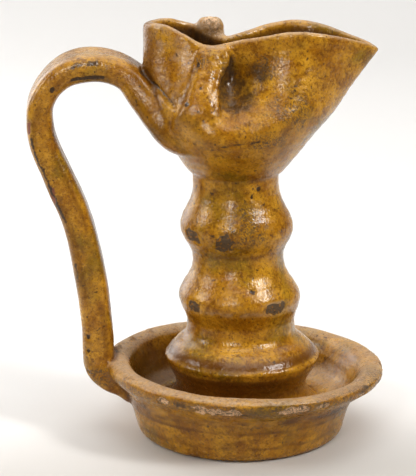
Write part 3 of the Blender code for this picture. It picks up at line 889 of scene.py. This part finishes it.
def stem_marks(points, near, torn):
    """Marks of the stem's rings: bell curves over height, the arc's bent down beside its middle."""
    x, y, z = points.T
    on_rings = ramp(26 - np.hypot(x, y), 0, 1) * band(z, 44, 45, 95, 96)
    # Ridge: a pale line of thin glaze on the sharp ridge, and a painted highlight along it
    ridge = line_mark(z, RIDGE[1] + 0.2, 0.7) * on_rings * near * ramp(torn, -0.6, 0.1)
    arc = line_mark(z, ARC_HEIGHT - 0.02 * (x - ARC_X) ** 2, 0.5) * line_mark(x, ARC_X, 4)
    arc = arc * on_rings * near
    under_ring = line_mark(z, UNDER_RING_LINE, 1.1) * on_rings * (0.6 + 0.4 * torn)
    return {"pool_and_shade": 0.8 * under_ring, "thin_and_lit": 0.7 * ridge + 0.9 * arc}


def bowl_marks(points, normals, place, near, torn):
    """Marks of the bowl and the ears: smooth steps over the depth below the rim, height and x."""
    x, y, z = points.T
    radius = np.hypot(x, y)
    off_strap = place < 0
    depth = rim_height(x, ramp(y, 2, 8)) - z
    facing_in = normals[:, 1] * y < -0.5
    # Inside the bowl: painted shade, darker below the rim, deepest low on the far wall and in the
    # throat at the pinch
    inside = (z > STEM_HEIGHT + BOWL_FLOOR) & (radius < 46) & off_strap & facing_in
    inside = inside * ramp(depth, 0.4, 3.0)
    deep = inside * ramp(depth, 2.0, 4.5)
    throat = inside * line_mark(x, -10, 9)
    # Rim line: a pale line along the rim's edge, thin glaze and a painted highlight
    rim_line = (1 - ramp(depth, 0.3, 1.3)) * (z > 130) * off_strap * ramp(radius, 5, 8)
    # Handle side: the near wall beside the handle, darkened as painted shade
    handle_side = ramp(z, 112, 122) * ramp(-x, 5, 11) * off_strap * near
    pale_side = handle_side * ramp(-x, 17, 21) * ramp(torn, -0.3, 0.5)
    # Knob: the far ear's top, pale bare clay, lightened further as painted light on its top
    knob = ramp(z, 141, 144) * ramp(y, 3, 6) * line_mark(x, PINCH_X - EAR_SETBACK, 6.5)
    spout_band = ramp(x, 20, 32) * (1 - ramp(rim_height(x) - z, 1.6, 3.2)) * ramp(z, 125, 130)
    return {
        "pool_and_shade": 0.8 * inside + 0.15 * handle_side,
        "thin_and_lit": 0.5 * pale_side + knob + 0.7 * rim_line,
        "film": 0.2 * knob,
        "worn": 0.3 * spout_band,
        "bare": 0.4 * knob,
        "stain_and_shade": 1.1 * throat + 0.9 * deep,
    }


def strap_marks(points, place, out, near):
    """Marks of the strap: a pale strip on its outer face, streaks combed along it, stains, painted
    shade on its inner side and painted light on its near face.
    """
    free = (place > 4) & (place < 16.6)
    top_strip = 0.72 * ramp(out, 0.75, 0.95) * band(place, 4, 5.5, 14, 16.5)
    combed = ramp(cloud(np.stack([7 * out, 1.5 * place, 0 * out], axis=1), 1.6, 27), -0.1, 0.5)
    return {
        # The inner side's darkening is painted shade
        "pool_and_shade": (0.5 * combed + 0.6 * ramp(-out, 0.72, 0.92)) * free,
        # The near face's lightening is painted light
        "thin_and_lit": 0.12 * free * near + 0.9 * top_strip,
        "dark": strap_streaks(points, place, out),
    }


def wear_masks(points, normals, hollow, place, out):
    """Named masks from 0 to 1 that say where the glaze pools, thins, is worn, chipped or dark, and
    where shade and highlights are painted.

    Each is the sum of what the hollows, the listed marks and the four areas give it.
    """
    torn = cloud(points, 2.2, 21)
    near = ramp(-points[:, 1], 6, 11)
    listed = {
        "pool_and_shade": ramp(hollow, 0.06, 0.5),
        "thin_and_lit": ramp(-hollow, 0.5, 1.1) * (0.7 + 0.6 * torn),
        "worn": blots(points, WORN, 0.45, 50),
        "bare": blots(points, CHIPS, 0.55, 30),
        "rubbed": blots(points, RUBBED, 0.5, 70),
        "stain_and_shade": blots(points, STAINS_AND_SHADE, 0.3, 80),
        "scratched": blots(points, SCRATCHED, 0.6, 110),
        "dark": pit_blots(points) + groove_marks(points, normals)[1],
        "puckered": blots(points, PUCKERED, 0.3, 130),
    }
    areas = [
        listed,
        saucer_marks(points, normals, near),
        stem_marks(points, near, torn),
        bowl_marks(points, normals, place, near, torn),
        strap_marks(points, place, out, near),
    ]
    return {name: np.clip(sum(area[name] for area in areas if name in area), 0, 1)
            for name in MASKS}


def store_masks(mesh, masks):
    """Keep each mask on the mesh as an attribute of its points, for the glaze to read."""
    for name, values in masks.items():
        layer = mesh.attributes.new(name, "FLOAT", "POINT")
        layer.data.foreach_set("value", values.astype(np.float32))


def crumbs(points):
    """Bumps of stray clay on the rim: a raised dome within each crumb's radius."""
    lift = np.zeros(len(points))
    for centre, radius in CRUMBS:
        distance = np.linalg.norm(points - centre, axis=1)
        lift += CRUMB_HEIGHT * (1 - ramp(distance, 0.2 * radius, 1.3 * radius))
    return lift


def pressed_relief(mesh, points, normals, place, masks, relief):
    """How far each point moves along its normal, in millimetres.

    Rings, swellings, crumbs and filled joints stand out; chips, wear, pits and grooves go in.
    """
    joints = blots(points, JOINTS, 0.0, 0)
    filled = np.maximum(hollowness(mesh, points, normals, FILL_ROUNDS), 0)
    lift = throwing_rings(points, place, relief.ring_depth / MM)
    lift += hand_unevenness(points, relief.unevenness / MM)
    lift += crumbs(points)
    rough = 0.5 + 0.5 * cloud(points, 1.6, 61)
    lift -= relief.chip_depth / MM * masks["bare"] * (0.5 + rough)
    lift -= relief.wear_depth / MM * (masks["worn"] + masks["rubbed"]) * (0.4 + rough)
    lift -= PIT_DEPTH * pit_blots(points)
    lift -= groove_marks(points, normals)[0]
    lift += np.minimum(FILL_SHARE * filled, FILL_LIMIT) * joints
    return lift


class LampRelief(bpy.types.PropertyGroup):
    """How finely the skin is meshed and how deep the marks of the hand are."""

    voxel: bpy.props.FloatProperty(
        name="Skin Cell", description="Edge length of the skin's faces",
        default=0.82 * MM, min=0.5 * MM, unit="LENGTH")
    smoothing: bpy.props.IntProperty(
        name="Softening", description="Passes that soften the luted joints", default=3, min=0)
    ring_depth: bpy.props.FloatProperty(
        name="Throwing Rings", description="Depth of the throwing rings",
        default=0.14 * MM, min=0.0, unit="LENGTH")
    unevenness: bpy.props.FloatProperty(
        name="Unevenness", description="Depth of the swellings left by hand work",
        default=0.42 * MM, min=0.0, unit="LENGTH")
    chip_depth: bpy.props.FloatProperty(
        name="Chips", description="Depth of the chips in the rim",
        default=0.9 * MM, min=0.0, unit="LENGTH")
    wear_depth: bpy.props.FloatProperty(
        name="Wear", description="Depth of the worn patches",
        default=0.35 * MM, min=0.0, unit="LENGTH")


class LampGlaze(bpy.types.PropertyGroup):
    """Colours and gloss of the glaze and of the clay under it."""

    amber: bpy.props.FloatVectorProperty(
        name="Amber", description="Glaze where it lies evenly", subtype="COLOR", size=3,
        default=(0.335, 0.140, 0.005))
    honey: bpy.props.FloatVectorProperty(
        name="Honey", description="Glaze where it is lighter", subtype="COLOR", size=3,
        default=(0.60, 0.315, 0.028))
    olive: bpy.props.FloatVectorProperty(
        name="Olive", description="Greenish patches", subtype="COLOR", size=3,
        default=(0.21, 0.130, 0.006))
    # Brown also lays the painted shade under the flange, inside the bowl, by the handle and on the
    # strap's inner side
    brown: bpy.props.FloatVectorProperty(
        name="Brown", description="Glaze where it pools", subtype="COLOR", size=3,
        default=(0.125, 0.044, 0.004))
    # Film also lays the painted highlights and light on the rim's edge, the stem's ridge, the far
    # ear's top and the strap's near face
    film: bpy.props.FloatVectorProperty(
        name="Film", description="Pale dust and thin glaze on upward faces",
        subtype="COLOR", size=3, default=(0.48, 0.345, 0.23))
    clay: bpy.props.FloatVectorProperty(
        name="Clay", description="Bare clay in the chips", subtype="COLOR", size=3,
        default=(0.84, 0.56, 0.34))
    worn: bpy.props.FloatVectorProperty(
        name="Worn", description="Grey-brown of the worn patches", subtype="COLOR", size=3,
        default=(0.105, 0.068, 0.036))
    rust: bpy.props.FloatVectorProperty(
        name="Rust", description="Reddish clay on the strap's edge", subtype="COLOR", size=3,
        default=(0.24, 0.085, 0.04))
    # Dark also lays the painted shade inside the bowl, in the hollow by the near ear, in the
    # grooves and in the pits
    dark: bpy.props.FloatVectorProperty(
        name="Dark", description="Stains, pits and dirt", subtype="COLOR", size=3,
        default=(0.06, 0.034, 0.018))
    roughness: bpy.props.FloatProperty(
        name="Roughness", description="Roughness of the sound glaze", subtype="FACTOR",
        default=0.2, min=0.0, max=1.0)
    peel: bpy.props.FloatProperty(
        name="Peel", description="Strength of the orange-peel surface", default=1.0, min=0.0)


class LampStudio(bpy.types.PropertyGroup):
    """Floor, lights and camera."""

    floor: bpy.props.FloatVectorProperty(
        name="Floor", description="Colour of the floor and backdrop", subtype="COLOR", size=3,
        default=(0.79, 0.775, 0.755))
    # Floor front: painted shade, the paper darkened in front of the lamp
    shaded_floor_front: bpy.props.FloatVectorProperty(
        name="Floor Front", description="Colour of the floor in front of the picture",
        subtype="COLOR", size=3, default=(0.28, 0.24, 0.185))
    room: bpy.props.FloatProperty(
        name="Room", description="Brightness of the dim room around", default=0.08, min=0.0)
    ceiling: bpy.props.FloatProperty(
        name="Ceiling Light", description="Power of the light over the floor behind the lamp",
        default=18.4, min=0.0, unit="POWER")
    key: bpy.props.FloatProperty(
        name="Right Light", description="Power of the window at the right",
        default=6.7, min=0.0, unit="POWER")
    fill: bpy.props.FloatProperty(
        name="Left Light", description="Power of the window at the left",
        default=2.6, min=0.0, unit="POWER")
    strip: bpy.props.FloatProperty(
        name="Strip Light", description="Power of the tall light beside the camera",
        default=2.8, min=0.0, unit="POWER")
    overhead: bpy.props.FloatProperty(
        name="Overhead Light", description="Power of the soft light over the lamp's front",
        default=4.6, min=0.0, unit="POWER")
    panel: bpy.props.FloatProperty(
        name="Left Panel", description="Power of the white panel behind the lamp, at the left",
        default=4.2, min=0.0, unit="POWER")
    distance: bpy.props.FloatProperty(
        name="Camera Distance", description="From the lamp's axis to the camera, along Y",
        default=0.626, min=0.1, unit="LENGTH")


class Painter:
    """Short calls for building a material's nodes."""

    def __init__(self, name):
        self.material = bpy.data.materials.new(name)
        self.material.use_nodes = True
        self.tree = self.material.node_tree
        self.shader = self.tree.nodes["Principled BSDF"]
        self.place = self.tree.nodes.new("ShaderNodeTexCoord").outputs["Object"]

    def join(self, source, socket):
        """Link a socket, or set a number or a colour on it."""
        if isinstance(source, bpy.types.NodeSocket):
            self.tree.links.new(source, socket)
        elif isinstance(source, (int, float)):
            socket.default_value = source
        else:
            socket.default_value = (*source, 1.0)

    def attribute(self, name):
        """A mask that is kept on the mesh."""
        node = self.tree.nodes.new("ShaderNodeAttribute")
        node.attribute_name = name
        return node.outputs["Fac"]

    def noise(self, size, detail=2.0, roughness=0.5, distortion=0.0, shift=0.0):
        """Noise whose features are about size millimetres across."""
        mapping = self.tree.nodes.new("ShaderNodeMapping")
        mapping.inputs["Location"].default_value = (shift, 0.7 * shift, 0.3 * shift)
        self.join(self.place, mapping.inputs["Vector"])
        node = self.tree.nodes.new("ShaderNodeTexNoise")
        node.inputs["Scale"].default_value = 1 / (size * MM)
        node.inputs["Detail"].default_value = detail
        node.inputs["Roughness"].default_value = roughness
        node.inputs["Distortion"].default_value = distortion
        self.join(mapping.outputs["Vector"], node.inputs["Vector"])
        return node.outputs["Fac"]

    def window(self, value, low, high, start=0.0, end=1.0):
        """Value mapped from low..high to start..end along a smooth step."""
        node = self.tree.nodes.new("ShaderNodeMapRange")
        node.interpolation_type = "SMOOTHSTEP"
        self.join(value, node.inputs["Value"])
        ends = {"From Min": low, "From Max": high, "To Min": start, "To Max": end}
        for name, number in ends.items():
            node.inputs[name].default_value = number
        return node.outputs["Result"]

    def combine(self, operation, first, second):
        """Two values added, subtracted or multiplied."""
        node = self.tree.nodes.new("ShaderNodeMath")
        node.operation = operation
        self.join(first, node.inputs[0])
        self.join(second, node.inputs[1])
        return node.outputs["Value"]

    def blend(self, factor, under, over):
        """One colour laid over another as far as the factor says."""
        node = self.tree.nodes.new("ShaderNodeMix")
        node.data_type = "RGBA"
        self.join(factor, node.inputs["Factor"])
        self.join(under, node.inputs["A"])
        self.join(over, node.inputs["B"])
        return node.outputs["Result"]

    def bump(self, height, strength, distance, under=None):
        """Normals pushed by a height, over a distance in millimetres."""
        node = self.tree.nodes.new("ShaderNodeBump")
        node.inputs["Strength"].default_value = strength
        node.inputs["Distance"].default_value = distance * MM
        self.join(height, node.inputs["Height"])
        if under is not None:
            self.join(under, node.inputs["Normal"])
        return node.outputs["Normal"]


def glaze_material(glaze):
    """Amber glaze: mottled at five scales, brown in hollows and as painted shade, pale on edges and
    as painted highlights, dull where worn.
    """
    paint = Painter("amber_glaze")
    broad = paint.window(paint.noise(9.0, 4.0, 0.6), 0.36, 0.68, 0.0, 0.9)
    colour = paint.blend(broad, glaze.amber, glaze.honey)
    green = paint.window(paint.noise(20.0, 3.0, 0.55, shift=3.1), 0.50, 0.66, 0.0, 0.8)
    colour = paint.blend(green, colour, glaze.olive)
    clouds = paint.window(paint.noise(4.2, 5.0, 0.75, 0.8, shift=5.3), 0.46, 0.70, 0.0, 0.75)
    colour = paint.blend(clouds, colour, glaze.brown)
    grain = paint.noise(2.2, 5.0, 0.75, shift=9.2)
    dusty = paint.window(grain, 0.36, 0.62, 0.45, 0.9)
    film = paint.combine("MULTIPLY", paint.attribute("film"), dusty)
    colour = paint.blend(film, colour, glaze.film)
    light = paint.window(paint.noise(1.3, 3.0, 0.75, shift=1.9), 0.48, 0.70, 0.0, 0.65)
    colour = paint.blend(light, colour, glaze.honey)
    speck = paint.window(paint.noise(0.9, 3.0, 0.8, shift=7.7), 0.50, 0.65, 0.0, 0.7)
    colour = paint.blend(speck, colour, glaze.brown)
    # Paler where the glaze is thin, and as painted highlights and light
    pale = paint.window(grain, 0.35, 0.6, 0.25, 0.8)
    thin_and_lit = paint.combine("MULTIPLY", paint.attribute("thin_and_lit"), pale)
    colour = paint.blend(thin_and_lit, colour, glaze.film)
    # Brown where the glaze pools, and as painted shade
    pool_and_shade = paint.window(paint.attribute("pool_and_shade"), 0.0, 1.0, 0.0, 0.85)
    colour = paint.blend(pool_and_shade, colour, glaze.brown)
    # Dark where stained, and as painted shade inside the bowl and in the hollow by the near ear
    soaked = paint.window(grain, 0.36, 0.6, 0.45, 0.85)
    stain_and_shade = paint.combine("MULTIPLY", paint.attribute("stain_and_shade"), soaked)
    colour = paint.blend(stain_and_shade, colour, glaze.dark)
    worn = paint.window(paint.combine("ADD", paint.attribute("worn"), grain), 0.98, 1.12, 0.0, 0.95)
    flake = paint.window(paint.noise(1.1, 2.0, 0.6, shift=8.1), 0.58, 0.62)
    worn_colour = paint.blend(flake, glaze.worn, glaze.amber)
    colour = paint.blend(worn, colour, worn_colour)
    rubbed = paint.window(paint.combine("ADD", paint.attribute("rubbed"), grain), 0.95, 1.15)
    colour = paint.blend(rubbed, colour, glaze.rust)
    bare = paint.window(paint.combine("ADD", paint.attribute("bare"), grain), 0.82, 0.98)
    crumbled = paint.window(paint.noise(1.1, 3.0, 0.7, shift=6.6), 0.36, 0.50, 0.15, 1.0)
    clay = paint.blend(crumbled, glaze.worn, glaze.clay)
    colour = paint.blend(bare, colour, clay)
    scratch = paint.window(paint.noise(1.1, 3.0, 0.7, 2.0, shift=2.9), 0.48, 0.56, 0.0, 0.9)
    scratch = paint.combine("MULTIPLY", scratch, paint.attribute("scratched"))
    colour = paint.blend(scratch, colour, glaze.worn)
    # Dark in the pits, grooves and streaks; in the pits and grooves it is painted shade
    dark = paint.window(paint.combine("ADD", paint.attribute("dark"), grain), 0.85, 1.15, 0.0, 0.95)
    colour = paint.blend(dark, colour, glaze.dark)
    dots = paint.window(paint.noise(1.3, 0.0, 0.0, shift=4.4), 0.78, 0.81, 0.0, 0.8)
    colour = paint.blend(dots, colour, glaze.dark)
    paint.join(colour, paint.shader.inputs["Base Color"])
    rough = paint.window(paint.noise(3.0, 4.0, 0.6, shift=2.2), 0.3, 0.7,
                         0.7 * glaze.roughness, 1.6 * glaze.roughness)
    broken = paint.combine("ADD", bare, worn)
    dull = paint.combine("ADD", broken, paint.combine("ADD", rubbed, film))
    rough = paint.combine("ADD", rough, paint.window(dull, 0.0, 1.0, 0.0, 0.35))
    paint.join(rough, paint.shader.inputs["Roughness"])
    paint.shader.inputs["IOR"].default_value = 1.5
    peel = paint.bump(paint.noise(0.9, 2.0, 0.5, shift=6.0), glaze.peel, 0.16)
    gritty = paint.bump(paint.noise(0.7, 3.0, 0.7), 0.3, 0.1, peel)
    lumpy = paint.combine("ADD", broken, paint.attribute("puckered"))
    rough_skin = paint.combine("MULTIPLY", lumpy, paint.noise(0.9, 3.0, 0.7))
    paint.join(paint.bump(rough_skin, 0.8, 0.4, gritty), paint.shader.inputs["Normal"])
    paint.material.diffuse_color = (*glaze.amber, 1.0)
    return paint.material


def graded_paper(studio):
    """Backdrop paper, pale round the lamp and graded to grey-brown in front by a smooth step, as
    painted shade of the light falling off.
    """
    paint = Painter("graded_paper")
    along = paint.tree.nodes.new("ShaderNodeSeparateXYZ")
    paint.join(paint.place, along.inputs["Vector"])
    slant = paint.combine("MULTIPLY", along.outputs["X"], GRADE_SLANT)
    reach = paint.combine("SUBTRACT", slant, along.outputs["Y"])
    grade = paint.window(reach, GRADE_START, GRADE_END)
    colour = paint.blend(grade, studio.floor, studio.shaded_floor_front)
    paint.join(colour, paint.shader.inputs["Base Color"])
    paint.shader.inputs["Roughness"].default_value = 0.8
    return paint.material


def paper_sweep():
    """Backdrop: a line of floor, quarter circle and wall, carried straight across."""
    turn = 0.5 * np.pi * np.linspace(0, 1, 40)
    depth = SWEEP_BACK - SWEEP_BEND + SWEEP_BEND * np.sin(turn)
    height = SWEEP_BEND - SWEEP_BEND * np.cos(turn)
    depth = np.concatenate([[SWEEP_FRONT], depth, [SWEEP_BACK]])[:, None]
    height = np.concatenate([[0.0], height, [SWEEP_TOP]])[:, None]
    across = np.array([[-SWEEP_HALF_WIDTH, SWEEP_HALF_WIDTH]])
    grid = np.stack(np.broadcast_arrays(across, depth, height), axis=-1)
    corner = np.arange(grid.shape[0] * 2).reshape(-1, 2)
    faces = np.stack([corner[:-1, 0], corner[:-1, 1], corner[1:, 1], corner[1:, 0]], axis=1)
    mesh = bpy.data.meshes.new("sweep")
    mesh.from_pydata(grid.reshape(-1, 3).tolist(), [], faces.tolist())
    mesh.shade_smooth()
    return mesh


def area_light(name, place, target, size, power):
    """Rectangle of light that faces a target."""
    light = bpy.data.lights.new(name, "AREA")
    light.shape = "RECTANGLE"
    light.size, light.size_y = size
    light.energy = power
    item = add_object(name, light)
    item.location = place
    item.rotation_euler = (Vector(target) - Vector(place)).to_track_quat("-Z", "Y").to_euler()


class LAMP_OT_glazed_lamp(bpy.types.Operator):
    """Throw, lute, wear and glaze the oil lamp"""

    bl_idname = "oil_lamp.glazed_lamp"
    bl_label = "Glazed Lamp"

    def execute(self, context):
        relief = context.scene.oil_lamp_relief
        mesh = luted_body(relief.voxel, relief.smoothing)
        points, normals = read_points(mesh)
        hollow = hollowness(mesh, points, normals, HOLLOW_ROUNDS)
        place, out = strap_place(points)
        masks = wear_masks(points, normals, hollow, place, out)
        lift = pressed_relief(mesh, points, normals, place, masks, relief)
        points = points + normals * lift[:, None]
        points[:, 2] = np.maximum(points[:, 2], 0.0)
        write_points(mesh, points)
        store_masks(mesh, masks)
        mesh.shade_smooth()
        mesh.materials.clear()
        mesh.materials.append(glaze_material(context.scene.oil_lamp_glaze))
        lamp = add_object("glazed_lamp", mesh)
        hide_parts("oil_lamp")
        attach(lamp, "root")
        return {"FINISHED"}


class LAMP_OT_studio(bpy.types.Operator):
    """Set the pale floor, the soft lights and the camera"""

    bl_idname = "oil_lamp.studio"
    bl_label = "Studio"

    def execute(self, context):
        studio = context.scene.oil_lamp_studio
        sweep = paper_sweep()
        sweep.materials.append(graded_paper(studio))
        add_object("sweep", sweep)

        world = bpy.data.worlds.new("white_room")
        world.use_nodes = True
        background = world.node_tree.nodes["Background"]
        background.inputs["Color"].default_value = (1.0, 0.99, 0.98, 1.0)
        background.inputs["Strength"].default_value = studio.room
        context.scene.world = world

        middle = LAMP_MIDDLE
        area_light("ceiling", (0.0, 0.85, 1.6), (0.0, 0.6, 0.0), (2.6, 1.8), studio.ceiling)
        area_light("right_window", (0.75, -0.45, 0.80), middle, (0.24, 0.34), studio.key)
        area_light("left_window", (-0.95, -0.10, 0.50), middle, (0.28, 0.42), studio.fill)
        area_light("left_panel", (-0.75, 0.70, 0.40), middle, (0.7, 0.9), studio.panel)
        area_light("overhead", (0.0, -0.40, 1.25), middle, (1.0, 0.7), studio.overhead)
        area_light("strip", (-0.30, -0.90, 0.48), middle, (0.10, 0.45), studio.strip)

        lens = bpy.data.cameras.new("camera")
        lens.sensor_fit = "VERTICAL"
        lens.sensor_height = SENSOR_HEIGHT
        lens.lens = SENSOR_HEIGHT * FOCAL_PIXELS / PICTURE_PIXELS
        camera = add_object("camera", lens)
        camera.location = (CAMERA_X, -studio.distance, CAMERA_HEIGHT)
        camera.rotation_euler = (np.radians(90 - CAMERA_PITCH), 0, 0)
        context.scene.camera = camera
        context.scene.view_settings.view_transform = "Standard"
        context.scene.view_settings.look = "Medium High Contrast"
        return {"FINISHED"}


class LAMP_PT_panel(bpy.types.Panel):
    """Oil lamp controls in the sidebar"""

    bl_label = "Oil Lamp"
    bl_space_type = "VIEW_3D"
    bl_region_type = "UI"
    bl_category = "Oil Lamp"

    def draw(self, context):
        layout = self.layout
        for operator in (LAMP_OT_glazed_lamp, LAMP_OT_studio):
            layout.operator(operator.bl_idname)
        for group in ("oil_lamp_relief", "oil_lamp_glaze", "oil_lamp_studio"):
            settings = getattr(context.scene, group)
            box = layout.box()
            for name in settings.__annotations__:
                box.prop(settings, name)


GROUPS = {
    "oil_lamp_relief": LampRelief,
    "oil_lamp_glaze": LampGlaze,
    "oil_lamp_studio": LampStudio,
}
CLASSES = (*GROUPS.values(), LAMP_OT_glazed_lamp, LAMP_OT_studio, LAMP_PT_panel)


def register():
    """Add the classes, and the settings to the scene."""
    for item in CLASSES:
        bpy.utils.register_class(item)
    for name, group in GROUPS.items():
        setattr(bpy.types.Scene, name, bpy.props.PointerProperty(type=group))


def unregister():
    """Take the settings and the classes away again."""
    for name in GROUPS:
        delattr(bpy.types.Scene, name)
    for item in reversed(CLASSES):
        bpy.utils.unregister_class(item)


def main():
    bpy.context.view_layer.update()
    register()
    bpy.ops.oil_lamp.glazed_lamp()
    bpy.ops.oil_lamp.studio()


if __name__ == "__main__":
    main()
